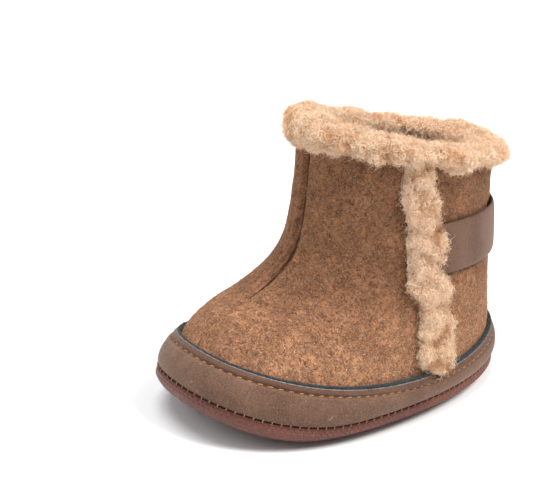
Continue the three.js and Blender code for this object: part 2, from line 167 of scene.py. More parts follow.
def placket_y(z):
    return PLACKET_Y + PLACKET_LEAN * (z - PLACKET_Z)


def placket_angle(level, shift):
    """Lateral angle at which the surface is shift behind the placket's centre line."""
    level = np.asarray(level, float)
    shift = np.broadcast_to(shift, level.shape)

    def too_far(angle):
        p = face(angle, level)
        return p[..., 1] - placket_y(p[..., 2]) > shift

    return halve(too_far, np.full(level.shape, 0.1), np.full(level.shape, PI - 0.1))


def level_at_height(angle, z):
    angle, z = np.broadcast_arrays(np.asarray(angle, float), np.asarray(z, float))
    top = np.full(angle.shape, len(SECTIONS) - 1.0)
    low = np.full(angle.shape, RAND_LEVEL)
    return halve(lambda level: face(angle, level)[..., 2] > z, low, top)


# ------------------------------------------------------------------ noise

RANDOM = np.random.default_rng(11)
LATTICE = RANDOM.random((32, 32, 32)) * 2 - 1
JITTER = RANDOM.random((16, 16, 16, 3))


def soft_noise(p, size):
    """Smooth noise from -1 to 1 with features of about the given size."""
    q = p / size
    i = np.floor(q).astype(int)
    f = q - i
    f = f * f * (3 - 2 * f)
    total = 0
    for corner in np.ndindex(2, 2, 2):
        index = (i + corner) % 32
        weight = np.prod(np.where(np.array(corner) == 1, f, 1 - f), axis=-1)
        total = total + weight * LATTICE[index[..., 0], index[..., 1], index[..., 2]]
    return total


def nubs(p, size):
    """Rounded clumps, 1 at the middle of each and 0 in the clefts between them."""
    q = p / size
    cell = np.floor(q).astype(int)
    nearest = np.full(q.shape[:-1], 9.0)
    for step in np.ndindex(3, 3, 3):
        c = cell + np.array(step) - 1
        k = c % 16
        centre = c + JITTER[k[..., 0], k[..., 1], k[..., 2]]
        nearest = np.minimum(nearest, np.sum((q - centre) ** 2, axis=-1))
    return np.clip(1 - nearest / 0.75, 0, 1)


# ------------------------------------------------------------------ meshes


def new_object(name, points, faces, materials, slots=None, crease=None, values=None):
    """faces is an array of triangles or of quads, or a list of both kinds. Edges that turn by more
    than crease degrees stay sharp. values names numbers kept at the points for the materials."""
    groups = faces if isinstance(faces, list) else [faces]
    groups = [np.asarray(g) for g in groups if len(g)]
    sizes = np.concatenate([np.full(len(g), g.shape[1]) for g in groups])
    corners = np.concatenate([g.ravel() for g in groups]).astype(np.int32)
    mesh = bpy.data.meshes.new(name)
    mesh.vertices.add(len(points))
    mesh.vertices.foreach_set("co", (np.asarray(points) * MM).astype(np.float32).ravel())
    mesh.loops.add(len(corners))
    mesh.loops.foreach_set("vertex_index", corners)
    mesh.polygons.add(len(sizes))
    starts = np.concatenate([[0], np.cumsum(sizes)[:-1]]).astype(np.int32)
    mesh.polygons.foreach_set("loop_start", starts)
    for material in materials:
        mesh.materials.append(material)
    if slots is not None:
        mesh.polygons.foreach_set("material_index", np.asarray(slots, np.int32))
    mesh.update(calc_edges=True)
    mesh.validate()
    mesh.shade_smooth()
    if crease is not None:
        mesh.set_sharp_from_angle(angle=math.radians(crease))
    for key, numbers in (values or {}).items():
        kept = mesh.attributes.new(key, "FLOAT", "POINT")
        kept.data.foreach_set("value", np.asarray(numbers, np.float32))
    made = bpy.data.objects.new(name, mesh)
    bpy.context.scene.collection.objects.link(made)
    return made


def grid_faces(rows, columns, wrap_rows=False, wrap_columns=False, start=0):
    i = np.arange(rows if wrap_rows else rows - 1)[:, None]
    j = np.arange(columns if wrap_columns else columns - 1)[None, :]
    i2, j2 = (i + 1) % rows, (j + 1) % columns
    quads = np.stack(
        [i * columns + j, i2 * columns + j, i2 * columns + j2, i * columns + j2], -1
    )
    return quads.reshape(-1, 4) + start


def loft(loops, wrap):
    """loops[i] is a closed loop of points; each is joined to the next. Without wrap the end loops
    are closed by bridging each one's first half to its second."""
    count, size = loops.shape[:2]
    quads = grid_faces(count, size, wrap_rows=wrap, wrap_columns=True)
    if not wrap:
        k = np.arange(size // 2 - 1)
        cap = np.stack([k, k + 1, size - 2 - k, size - 1 - k], -1)
        quads = np.concatenate([quads, cap, cap[:, ::-1] + (count - 1) * size])
    return loops.reshape(-1, 3), quads


def outward(points, quads):
    """Turns the faces round if they point inwards."""
    p = points[quads]
    normal = np.cross(p[:, 2] - p[:, 0], p[:, 3] - p[:, 1])
    volume = np.sum(p.mean(1) * normal)
    return quads if volume > 0 else quads[:, ::-1]


def slab(angle, level, inner, outer):
    """A layer between two offsets. angle and level are grids: one row a column of the layer."""
    outside, inside = at(angle, level, outer), at(angle, level, inner)
    return np.concatenate([outside, inside[:, ::-1]], axis=1)


def vertex_normals(points, quads):
    p = points[quads]
    normal = np.cross(p[:, 2] - p[:, 0], p[:, 3] - p[:, 1])
    total = np.zeros_like(points)
    for corner in range(4):
        np.add.at(total, quads[:, corner], normal)
    return unit(total)


def tubes(paths, radii, sides):
    """Closed tubes along many paths of the same length. paths: (n, steps, 3); radii: (n, steps)."""
    n, steps = paths.shape[:2]
    tangent = unit(np.gradient(paths, axis=1))
    guide = unit(np.cross(tangent[:, :1], [0.31, 0.52, 0.79]) + 1e-6)
    first = unit(np.cross(tangent, np.broadcast_to(guide, paths.shape)) + 1e-9)
    second = np.cross(tangent, first)
    turn = np.arange(sides) * 2 * PI / sides
    ring = (
        first[:, :, None] * np.cos(turn)[:, None] + second[:, :, None] * np.sin(turn)[:, None]
    ) * radii[:, :, None, None]
    points = (paths[:, :, None] + ring).reshape(-1, 3)
    one = grid_faces(steps, sides, wrap_columns=True)
    starts = np.arange(n)[:, None, None] * steps * sides
    quads = (one[None] + starts).reshape(-1, 4)
    fan = np.stack([np.zeros(sides - 2, int), np.arange(1, sides - 1), np.arange(2, sides)], -1)
    caps = np.concatenate([fan[:, ::-1], fan + (steps - 1) * sides])
    triangles = (caps[None] + starts).reshape(-1, 3)
    return points, [quads[:, ::-1], triangles[:, ::-1]]


# ------------------------------------------------------------------ materials


class Nodes:
    """A material's node tree, with short calls for the nodes used here."""

    def __init__(self, name):
        self.material = bpy.data.materials.new(name)
        self.material.use_nodes = True
        self.tree = self.material.node_tree
        self.shader = self.tree.nodes["Principled BSDF"]
        self.place = self.add("ShaderNodeTexCoord").outputs["Object"]

    def add(self, kind, **values):
        node = self.tree.nodes.new(kind)
        for key, value in values.items():
            setattr(node, key, value)
        return node

    def link(self, source, target):
        self.tree.links.new(source, target)

    def put(self, socket, value):
        if isinstance(value, bpy.types.NodeSocket):
            self.link(value, socket)
        else:
            socket.default_value = value

    def put_colour(self, socket, colour):
        self.put(socket, colour if isinstance(colour, bpy.types.NodeSocket) else (*colour, 1))

    def noise(self, scale, detail=2.0, rough=0.5, distortion=0.0, place=None):
        node = self.add("ShaderNodeTexNoise")
        self.link(place or self.place, node.inputs["Vector"])
        node.inputs["Scale"].default_value = scale
        node.inputs["Detail"].default_value = detail
        node.inputs["Roughness"].default_value = rough
        node.inputs["Distortion"].default_value = distortion
        return node.outputs["Fac"]

    def cells(self, scale):
        node = self.add("ShaderNodeTexVoronoi", feature="F1")
        self.link(self.place, node.inputs["Vector"])
        node.inputs["Scale"].default_value = scale
        return node

    def span(self, value, low, high, to_low=0.0, to_high=1.0):
        node = self.add("ShaderNodeMapRange", clamp=True)
        self.link(value, node.inputs["Value"])
        numbers = {"From Min": low, "From Max": high, "To Min": to_low, "To Max": to_high}
        for key, number in numbers.items():
            node.inputs[key].default_value = number
        return node.outputs["Result"]

    def maths(self, operation, a, b=0.0):
        node = self.add("ShaderNodeMath", operation=operation)
        self.put(node.inputs[0], a)
        self.put(node.inputs[1], b)
        return node.outputs[0]

    def mix(self, share, a, b, blend="MIX"):
        node = self.add("ShaderNodeMix", data_type="RGBA", blend_type=blend)
        self.put(node.inputs[0], share)
        self.put_colour(node.inputs[6], a)
        self.put_colour(node.inputs[7], b)
        return node.outputs[2]

    def tint(self, base, value, low, high, most, colour):
        """Mixes in a colour, from none of it at the low value to its most at the high one."""
        return self.mix(self.span(value, low, high, 0.0, most), base, colour)

    def cover(self, base, mask, share, colour):
        return self.mix(self.maths("MULTIPLY", mask, share), base, colour)

    def strands(self, scale, width, distortion, shift=0.0):
        """Thin curly lines: where a noise crosses its middle value."""
        place = self.add("ShaderNodeMapping")
        self.link(self.place, place.inputs["Vector"])
        place.inputs["Location"].default_value = (shift, shift * 0.7, -shift)
        place.inputs["Scale"].default_value = (1.0, 1.0, 1.45)
        value = self.noise(scale, 1.0, 0.4, distortion, place.outputs[0])
        away = self.maths("ABSOLUTE", self.maths("SUBTRACT", value, 0.5))
        return self.span(away, 0.0, width, 1.0, 0.0)

    def bump(self, height, strength, distance, normal=None):
        node = self.add("ShaderNodeBump")
        self.link(height, node.inputs["Height"])
        node.inputs["Strength"].default_value = strength
        node.inputs["Distance"].default_value = distance
        if normal is not None:
            self.link(normal, node.inputs["Normal"])
        return node.outputs["Normal"]

    def finish(self, colour, roughness, normal=None, sheen=0.0, sheen_tint=(1, 1, 1), specular=0.5):
        inputs = self.shader.inputs
        self.put_colour(inputs["Base Color"], colour)
        self.put(inputs["Roughness"], roughness)
        inputs["Specular IOR Level"].default_value = specular
        inputs["Sheen Weight"].default_value = sheen
        inputs["Sheen Roughness"].default_value = 0.5
        inputs["Sheen Tint"].default_value = (*sheen_tint, 1)
        if normal is not None:
            self.link(normal, inputs["Normal"])
        return self.material


def height_share(n, low, high):
    """0 at one height of the object and 1 at another, in metres."""
    split = n.add("ShaderNodeSeparateXYZ")
    n.link(n.place, split.inputs[0])
    return n.span(split.outputs["Z"], low, high)


def kept_value(n, key):
    node = n.add("ShaderNodeAttribute", attribute_type="GEOMETRY", attribute_name=key)
    return node.outputs["Fac"]


def felt_material():
    """Heathered wool: a brown ground with tan, rust, grey and dark fibres matted into it."""
    n = Nodes("wool_felt")
    patches = n.noise(90, 5, 0.7)
    ground = n.mix(n.span(patches, 0.37, 0.65), (0.275, 0.117, 0.057), (0.71, 0.345, 0.180))
    smudge = n.noise(140, 4, 0.7, 0.6)
    ground = n.tint(ground, smudge, 0.5, 0.68, 0.5, (0.115, 0.050, 0.029))
    blotch = n.noise(620, 3, 0.6, 0.8)
    ground = n.tint(ground, blotch, 0.46, 0.60, 0.9, (0.135, 0.056, 0.032))
    hue = n.add("ShaderNodeSeparateColor")
    n.link(n.cells(1600).outputs["Color"], hue.inputs[0])
    speck = n.tint(ground, hue.outputs[0], 0.55, 1.0, 0.7, (0.12, 0.055, 0.032))
    speck = n.tint(speck, hue.outputs[1], 0.70, 0.95, 0.5, (0.46, 0.185, 0.085))
    speck = n.tint(speck, hue.outputs[2], 0.80, 0.96, 0.4, (0.25, 0.17, 0.17))
    dark = n.strands(640, 0.046, 2.2, 0.031)
    light = n.strands(590, 0.044, 2.4)
    gold = n.strands(470, 0.022, 2.8, 0.013)
    colour = n.cover(speck, dark, 0.82, (0.085, 0.034, 0.020))
    colour = n.cover(colour, light, 0.75, (0.95, 0.57, 0.335))
    colour = n.cover(colour, gold, 0.5, (0.62, 0.30, 0.115))
    # The shaft's felt is darker than the vamp's: partly its own browner colour,
    # partly painted shade where the upright shaft faces away from the top light.
    colour = n.mix(height_share(n, 0.022, 0.042), colour, (0.59, 0.545, 0.515), "MULTIPLY")
    relief = n.maths("ADD", n.maths("SUBTRACT", light, dark), n.noise(900, 3, 0.6))
    normal = n.bump(relief, 0.7, 0.0005)
    return n.finish(colour, 0.95, normal, sheen=0.2, sheen_tint=(0.9, 0.6, 0.4), specular=0.08)


def pile_material(name, tip, cleft_shade):
    """Matted pile, darker down between its clumps: painted shade in the hollows."""
    n = Nodes(name)
    fine = n.noise(650, 4, 0.65, 1.8)
    curls = n.strands(430, 0.08, 3.2)
    # Painted shade: the colour falls from the tip colour on top of the clumps to a darker one down
    # between them.
    rise = n.maths("ADD", kept_value(n, "clump"), n.span(fine, 0.3, 0.7, -0.25, 0.25))
    colour = n.mix(n.span(rise, 0.05, 0.75), cleft_shade, tip)
    colour = n.cover(colour, curls, 0.4, tuple(min(1.0, c * 1.15) for c in tip))
    relief = n.maths("ADD", n.maths("MULTIPLY", curls, 0.8), fine)
    normal = n.bump(relief, 0.9, 0.0007)
    return n.finish(colour, 0.95, normal, sheen=0.4, sheen_tint=(1.0, 0.85, 0.7), specular=0.08)


def strand_material(name, colour):
    n = Nodes(name)
    return n.finish(colour, 0.8, sheen=0.25, sheen_tint=(1.0, 0.88, 0.75), specular=0.15)


def nubuck_material(name, light, dark, scratch):
    """Brushed leather with clouds where the nap lies different ways, and fine pale scratches."""
    n = Nodes(name)
    clouds = n.noise(70, 5, 0.62, 0.4)
    nap = n.noise(2300, 3, 0.6)
    streaks = n.noise(500, 3, 0.7, 1.5)
    colour = n.mix(n.span(clouds, 0.35, 0.66), light, dark)
    colour = n.tint(colour, streaks, 0.45, 0.68, 0.45, tuple(0.6 * c for c in dark))
    colour = n.tint(colour, nap, 0.5, 0.66, 0.35, scratch)
    marks = n.maths("MULTIPLY", n.strands(210, 0.012, 1.6), n.span(streaks, 0.42, 0.58))
    colour = n.cover(colour, marks, 0.75, scratch)
    relief = n.maths("ADD", n.maths("MULTIPLY", nap, 0.7), streaks)
    normal = n.bump(relief, 0.45, 0.0003)
    rough = n.span(clouds, 0.3, 0.7, 0.76, 0.92)
    return n.finish(colour, rough, normal, sheen=0.25, sheen_tint=(0.9, 0.76, 0.66), specular=0.2)


BUMP_X, BUMP_Y, BUMP_HEIGHT = 1.9, 1.65, 0.36


def brick_relief(n):
    """The sole's embossing: rounded bricks in staggered rows, 1 on top and 0 in the joints. Points
    keep their place across and along the pattern in mm, and how strongly they are embossed."""
    rows = n.maths("DIVIDE", kept_value(n, "along"), BUMP_Y)
    stagger = n.maths("MULTIPLY", n.maths("MODULO", n.maths("FLOOR", rows), 2.0), 0.5)
    columns = n.maths("ADD", n.maths("DIVIDE", kept_value(n, "across"), BUMP_X), stagger)
    shape = 1.3
    for place in (columns, rows):
        off_middle = n.maths("SUBTRACT", n.maths("MULTIPLY", n.maths("FRACT", place), 2.0), 1.0)
        fall = n.maths("POWER", n.maths("ABSOLUTE", off_middle), 2.6)
        shape = n.maths("MULTIPLY", n.maths("SUBTRACT", 1.0, fall), shape)
    return n.maths("MINIMUM", shape, 1.0)


def rubber_material():
    n = Nodes("sheet_rubber")
    clouds = n.noise(45, 4, 0.6)
    pores = n.noise(1500, 3, 0.55)
    emboss = kept_value(n, "emboss")
    bricks = n.mix(emboss, (0.6, 0.6, 0.6), brick_relief(n))
    colour = n.mix(n.span(clouds, 0.35, 0.65), (0.150, 0.049, 0.033), (0.098, 0.031, 0.021))
    colour = n.tint(colour, pores, 0.5, 0.7, 0.4, (0.23, 0.098, 0.070))
    # Painted shade in the embossing's joints: the rubber darkens where the bricks fall away.
    colour = n.mix(n.span(bricks, 0.0, 0.55, 0.75, 0.0), colour, (0.030, 0.010, 0.008))
    grain = n.bump(pores, 0.35, 0.00025)
    normal = n.bump(bricks, 1.0, 0.0005, grain)
    rough = n.span(pores, 0.3, 0.7, 0.40, 0.56)
    return n.finish(colour, rough, normal, sheen=0.05, sheen_tint=(1, 0.7, 0.6), specular=0.3)


def plain_material(name, texture, span, light, dark, rough, depth=None, **coat):
    """One texture between two colours, and as a bump of a strength and depth."""
    n = Nodes(name)
    value = texture(n)
    colour = n.mix(n.span(value, *span), light, dark)
    return n.finish(colour, rough, depth and n.bump(value, *depth), **coat)


def thread_material(name, light, dark, sheen=0.3, specular=0.4):
    n = Nodes(name)
    twist = n.add("ShaderNodeTexWave", bands_direction="DIAGONAL")
    n.link(n.place, twist.inputs["Vector"])
    twist.inputs["Scale"].default_value = 900
    twist.inputs["Distortion"].default_value = 2.0
    colour = n.mix(twist.outputs["Fac"], dark, light)
    normal = n.bump(twist.outputs["Fac"], 0.6, 0.0002)
    return n.finish(colour, 0.55, normal, sheen=sheen, specular=specular)


FELT_MATERIAL = felt_material()
PILE_MATERIAL = pile_material("pile_fleece", (0.80, 0.50, 0.295), (0.36, 0.16, 0.062))
LINING_MATERIAL = pile_material("fleece_lining", (0.80, 0.51, 0.30), (0.36, 0.17, 0.07))
PILE_STRANDS = [
    strand_material("pile_strand_cream", (0.99, 0.755, 0.545)),
    strand_material("pile_strand_tan", (0.86, 0.54, 0.32)),
    strand_material("pile_strand_honey", (0.66, 0.34, 0.15)),
    strand_material("pile_strand_amber", (0.52, 0.235, 0.085)),
]
FELT_STRANDS = [
    strand_material("wool_strand_light", (0.46, 0.27, 0.155)),
    strand_material("wool_strand_rust", (0.42, 0.165, 0.055)),
    strand_material("wool_strand_dark", (0.10, 0.048, 0.028)),
]
RAND_MATERIAL = nubuck_material(
    "rand_nubuck", (0.152, 0.080, 0.051), (0.092, 0.046, 0.029), (0.27, 0.165, 0.112)
)
BURNISHED_MATERIAL = nubuck_material(
    "burnished_nubuck", (0.115, 0.056, 0.034), (0.078, 0.037, 0.023), (0.18, 0.10, 0.066)
)
STRAP_MATERIAL = nubuck_material(
    "strap_nubuck", (0.134, 0.068, 0.043), (0.088, 0.043, 0.027), (0.20, 0.115, 0.079)
)
RUBBER_MATERIAL = rubber_material()
GREY_MATERIAL = plain_material(
    "backing_felt", lambda n: n.noise(1500, 4, 0.65, 1.0), (0.35, 0.68),
    (0.017, 0.019, 0.020), (0.058, 0.062, 0.064), 0.95, (0.8, 0.0003),
    sheen=0.12, sheen_tint=(0.8, 0.85, 0.88), specular=0.05,
)
CUT_EDGE_MATERIAL = plain_material(
    "nubuck_cut_edge", lambda n: n.noise(1500, 3, 0.6), (0.35, 0.65),
    (0.080, 0.070, 0.070), (0.23, 0.21, 0.21), 0.8, (0.5, 0.0002), specular=0.2,
)
STITCH_THREAD = thread_material("stitch_thread", (0.62, 0.25, 0.062), (0.27, 0.095, 0.028))
SEAM_THREAD = thread_material(
    "seam_thread", (0.095, 0.042, 0.024), (0.045, 0.020, 0.012), sheen=0.0, specular=0.05
)
HOOK_MATERIAL = plain_material(
    "hook_and_loop", lambda n: n.cells(900).outputs["Distance"], (0.1, 0.6),
    (0.13, 0.075, 0.05), (0.035, 0.02, 0.014), 0.7, (0.9, 0.0006), sheen=0.3, specular=0.3,
)
LOOP_STRAND = strand_material("loop_strand", (0.085, 0.05, 0.034))
FOAM_MATERIAL = plain_material(
    "foam", lambda n: n.cells(1300).outputs["Distance"], (0.1, 0.7),
    (0.72, 0.66, 0.56), (0.52, 0.46, 0.38), 0.9, (0.5, 0.0003), specular=0.2,
)
BOARD_MATERIAL = plain_material(
    "board", lambda n: n.noise(900, 5, 0.65, 0.8), (0.35, 0.65),
    (0.55, 0.44, 0.30), (0.40, 0.31, 0.21), 0.85, (0.3, 0.0002), specular=0.25,
)
FLOOR_MATERIAL = plain_material(
    "pale_floor", lambda n: n.noise(3, 2, 0.5), (0.3, 0.7),
    (0.84, 0.842, 0.85), (0.86, 0.862, 0.868), 0.8, specular=0.1,
)


# ------------------------------------------------------------------ which body each piece goes with


def carry(piece, bend):
    """Attaches a piece that doesn't bend to the root body; one that should bend with the flap is
    only baked into place here.
    """
    if not bend:
        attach(piece, "root")
        return
    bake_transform(piece)


# ------------------------------------------------------------------ felt upper

SEAM_DEPTH, SEAM_WIDTH = 1.5, 1.15
RIDGE_HEIGHT, RIDGE_PLACE, RIDGE_WIDTH = 0.5, 2.9, 1.2
SECOND_LINE_DEPTH, SECOND_LINE_PLACE, SECOND_LINE_WIDTH = 0.75, 5.2, 0.75  # on the medial side
BACK_SEAM_DEPTH, BACK_SEAM_WIDTH = 0.8, 0.8
FADE_LEVEL, FADE_LENGTH = 1.9, 2.6


def seam_relief(angle, level):
    """The front seam's valley with a ridge on each side, which fade out down the vamp, and the back
    seam's valley."""
    place = face(angle, level)[..., 0]
    x = np.abs(place)
    strength = ramp(level - FADE_LEVEL, FADE_LENGTH) ** 1.3
    front = -SEAM_DEPTH * bell(x, SEAM_WIDTH) + RIDGE_HEIGHT * bell(x - RIDGE_PLACE, RIDGE_WIDTH)
    front = front - SECOND_LINE_DEPTH * bell(place + SECOND_LINE_PLACE, SECOND_LINE_WIDTH)
    back = -BACK_SEAM_DEPTH * bell(x, BACK_SEAM_WIDTH)
    return np.where(np.cos(angle) > 0, front * strength, back)


STRAP_PRESSURE = 0.7
DENT_DEPTH, FOLD_HEIGHT = 0.9, 0.5
FELT_ROWS, LINING_ROWS = 96, 64
HIGHEST_RELIEF = 0.45


def pressed_by_strap(points):
    """How far the strap pushes the felt in, along its length from the placket round the heel."""
    low = ramp(points[..., 2] - STRAP_LOW + 1.0, 2.0)
    high = ramp(STRAP_HIGH + 1.0 - points[..., 2], 2.0)
    behind = ramp(points[..., 1] - 14, 8) * ramp(points[..., 0] + 20, 8)
    return STRAP_PRESSURE * low * high * behind


def ankle_fold(points):
    """A soft dent just in front of the placket, and the fold of cloth above it."""
    x, y, z = points[..., 0], points[..., 1], points[..., 2]
    ahead = placket_y(z) - PLACKET_HALF - 2.5 - y
    dent = bell(ahead, 4.0) * ramp(z - 20, 8) * ramp(50 - z, 6)
    fold = np.exp(-(((z - 53.0) / 3.5) ** 2) - (ahead / 9.0) ** 2)
    return (FOLD_HEIGHT * fold - DENT_DEPTH * dent) * ramp(x - 5, 8)


def layer_grid(left, right, level, columns):
    """Angles and levels of a layer between two edges, one row for each of its columns."""
    u = np.linspace(0, 1, columns)[:, None]
    angle = left(level) + (right(level) - left(level)) * u
    return angle, np.broadcast_to(level, angle.shape)


def felt_panel(name, left, right, columns, replaces, bend):
    level = np.linspace(0.0, RIM_LEVEL, FELT_ROWS)[None, :]
    angle, level = layer_grid(left, right, level, columns)
    base = face(angle, level)
    waves = 0.42 * soft_noise(base, 15) + 0.14 * soft_noise(base, 5) + 0.06 * soft_noise(base, 1.6)
    relief = seam_relief(angle, level) + waves + ankle_fold(base) - pressed_by_strap(base)
    calm = ramp(level - 1.0, 0.4) * ramp(CUFF_LEVEL - level, 0.4)
    relief = np.minimum(relief * calm, HIGHEST_RELIEF)
    loops = slab(angle, level, -FELT + np.minimum(relief, 0), relief)
    points, quads = loft(loops, wrap=False)
    piece = new_object(name, points, outward(points, quads), [FELT_MATERIAL], crease=45)
    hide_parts(*replaces)
    carry(piece, bend)
    return angle, level, relief


def wool_fuzz(name, panel, count, bend):
    """Short loose fibres that lie on a felt panel."""
    angle, level, relief = panel
    rng = np.random.default_rng(len(name) + count)
    inside = [(rng.random(count) * (n - 1)) for n in angle.shape]
    i, j = inside[0].astype(int), inside[1].astype(int)
    visible = (level[i, j] > 1.1) & (level[i, j] < 8.1)
    i, j = i[visible], j[visible]
    a, lev, rel = angle[i, j], level[i, j], relief[i, j]
    normal = face_normal(a, lev)
    root = face(a, lev) + normal * rel[:, None]
    spin = rng.random(len(a)) * 2 * PI
    side = unit(np.cross(normal, [0, 0, 1.0]))
    up = np.cross(side, normal)
    way = side * np.cos(spin)[:, None] + up * np.sin(spin)[:, None]
    across = np.cross(normal, way)
    length = rng.uniform(0.8, 2.3, len(a))[:, None, None]
    lift = rng.uniform(0.05, 0.5, len(a))[:, None, None]
    curl = rng.uniform(-0.55, 0.55, len(a))[:, None, None]
    s = np.linspace(0, 1, 5)[None, :, None]
    path = (
        root[:, None]
        + way[:, None] * s * length
        + across[:, None] * curl * length * s * s
        + normal[:, None] * (np.sin(PI * s) * 0.35 * lift * length + lift * s**3 * length - 0.05)
    )
    radii = rng.uniform(0.028, 0.045, len(a))[:, None] * np.linspace(1, 0.5, 5)[None]
    points, faces = tubes(path, radii, 3)
    kinds = rng.choice(3, len(a), p=[0.55, 0.27, 0.18])
    slots = np.concatenate([np.repeat(kinds, 4 * 3), np.repeat(kinds, 2)])
    piece = new_object(name, points, faces, FELT_STRANDS, slots)
    carry(piece, bend)


EDGE_GAP = 0.0008  # in radians, from a seam to the edge of each cloth


def edge_at_angle(angle):
    return lambda level: np.full(level.shape, angle)


def edge_along_slit(shift):
    return lambda level: placket_angle(level, SLIT_BACK + shift)


front_edge, back_edge = edge_at_angle(EDGE_GAP), edge_at_angle(PI - EDGE_GAP)
medial_back, medial_front = edge_at_angle(PI + EDGE_GAP), edge_at_angle(2 * PI - EDGE_GAP)
slit_edge, slit_rear_edge, lining_slit = (edge_along_slit(shift) for shift in (-0.25, 0.25, -0.75))


def make_upper():
    medial = felt_panel("felt_medial", medial_back, medial_front, 170, ["medial_panel"], False)
    nodes = ["lateral_front_panel", "flap_panel"]
    front = felt_panel("felt_lateral_front", front_edge, slit_edge, 110, nodes, True)
    rear = felt_panel(
        "felt_lateral_rear", slit_rear_edge, back_edge, 76, ["lateral_rear_panel"], False
    )
    wool_fuzz("wool_fuzz_medial", medial, 3600, False)
    wool_fuzz("wool_fuzz_lateral_front", front, 5200, True)
    wool_fuzz("wool_fuzz_lateral_rear", rear, 1900, False)


# ------------------------------------------------------------------ lining


def lining_panel(name, left, right, columns, replaces, bend):
    level = np.linspace(0.15, RIM_LEVEL, LINING_ROWS)[None, :]
    angle, level = layer_grid(left, right, level, columns)
    clump = nubs(at(angle, level, LINING_INNER), 3.2)
    inner = LINING_INNER + 0.8 - 0.9 * clump
    points, quads = loft(slab(angle, level, inner, LINING_OUTER), wrap=False)
    high = np.concatenate([clump, clump[:, ::-1]], axis=1).ravel()
    quads = outward(points, quads)
    piece = new_object(name, points, quads, [LINING_MATERIAL], crease=60, values={"clump": high})
    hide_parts(*replaces)
    for made in (piece, lining_curls(name, angle, level, inner, clump)):
        carry(made, bend)


def lining_curls(name, angle, level, inner, clump):
    """Curled pile on the lining's face, thickest in the shaft."""
    rng = np.random.default_rng(len(name))
    count = angle.shape[0] * 26
    i = rng.integers(1, angle.shape[0] - 1, count)
    j = (np.sqrt(rng.random(count)) * (angle.shape[1] - 2)).astype(int) + 1
    root = at(angle[i, j], level[i, j], inner[i, j]) + rng.uniform(-0.6, 0.6, (count, 3))
    out = -face_normal(angle[i, j], level[i, j])
    points, faces, slots = curls(root, out, 0.7 * clump[i, j], LINING_CURLS, rng)
    return new_object(name + "_curls", points, faces, PILE_STRANDS, slots)


def make_lining():
    lining_panel("lining_medial", medial_back, medial_front, 120, ["medial_lining"], False)
    nodes = ["lateral_front_lining", "flap_lining"]
    lining_panel("lining_lateral_front", front_edge, lining_slit, 70, nodes, True)
    lining_panel("lining_lateral_rear", slit_edge, back_edge, 56, ["lateral_rear_lining"], False)


# ------------------------------------------------------------------ pile fleece

# The cuff's outside, from its lower edge over the crown to its hem inside, and the slot that the
# felt and lining fill, each as level and offset.
CUFF_OUTSIDE = np.array(
    [
        (8.05, 0.3), (8.03, 1.6), (8.2, 3.0), (8.55, 3.8), (8.95, 3.7), (9.3, 2.6),
        (9.48, 0.5), (9.5, -2.2), (9.42, -4.6), (9.1, -6.6), (8.6, -7.2), (8.3, -6.6), (8.2, -5.6),
    ]
)
CUFF_SLOT = np.array([(8.22, -5.2), (9.11, -5.2), (9.11, 0.3), (8.02, 0.3)])


OUTSIDE_STEPS = 46
NUB = 4.4  # across one clump of pile
CLUMP_HEIGHT = 3.0
PILE_LEVEL = 0.53  # the share of a clump's height at which the pile's ground lies


def clumps(points):
    broad, plain = nubs(points + 15, NUB * 1.7), nubs(points, NUB)
    return 0.42 * broad + 0.46 * plain + 0.12 * nubs(points + 40, NUB * 0.5)


def puff(points, quads, movable):
    """Raises clumps on the movable points, along the surface's normals."""
    normal = vertex_normals(points, quads)
    clump = clumps(points)
    uneven = 0.34 * soft_noise(points, 11) + 0.28 * soft_noise(points + 30, 5)
    rise = CLUMP_HEIGHT * (clump - PILE_LEVEL + uneven)
    return points + normal * (rise * movable)[:, None], clump


def cuff_arc(left, right, columns):
    steps = np.linspace(0, len(CUFF_OUTSIDE) - 1 - 1e-9, OUTSIDE_STEPS)
    outside = smooth_curve(CUFF_OUTSIDE, steps)
    profile = np.vstack([outside, CUFF_SLOT])
    offset = profile[None, :, 1]
    angle, level = layer_grid(left, right, profile[None, :, 0], columns)
    # The crown is pressed down on the lateral side.
    pressed = 0.34 * bell(angle - 1.8, 0.65) * ramp(level - 8.8, 0.5)
    loops = at(angle, level - pressed, offset)
    points, quads = loft(loops, wrap=False)
    quads = outward(points, quads)
    step = np.arange(len(profile))
    movable = np.where(step < 0.55 * OUTSIDE_STEPS, 1.0, 0.6) * (step < OUTSIDE_STEPS - 2)
    return points, quads, np.tile(movable, columns)


def placket_strip(rows, columns):
    """A crowned strip along the placket, with rounded ends."""
    v = np.linspace(0, 1, rows)[:, None]
    u = np.linspace(-1, 1, columns)[None, :]
    middle = placket_angle(np.array([1.5]), 0.0)
    bottom = float(climb(middle, RAND_LEVEL, -0.6)[0])
    level = bottom + (CUFF_LEVEL + 0.15 - bottom) * v
    ragged = 1 + 0.08 * np.sin(11 * v + 1) + 0.08 * np.sin(31 * v)
    fuller = ramp(0.75 - v, 0.35)
    width = (PLACKET_HALF - 2.1 + 0.9 * fuller) * ragged
    width = width * np.minimum(1, np.sqrt(np.clip(v / 0.05, 0.1, 1)))
    level = np.broadcast_to(level, (rows, columns))
    shift = width * u + 1.0 - 0.5 * fuller + 0.6 * np.sin(17 * v + 2)
    angle = placket_angle(level, shift)
    crown = (1 - np.abs(u) ** 3.2) * np.minimum(1, np.sqrt(np.clip(v / 0.06, 0.02, 1)))
    over_rand = np.clip((climb(angle, RAND_LEVEL, 1.5) - level) * 4, 0, 1)
    inner = 0.3 + 2.6 * over_rand
    points, quads = loft(slab(angle, level, inner, inner + 0.2 + 2.2 * crown), wrap=False)
    movable = np.tile(np.arange(2 * columns) < columns, rows).astype(float)
    return points, outward(points, quads), movable


CURL_STEPS = 11
CURLS_IN_PIECE = 3000
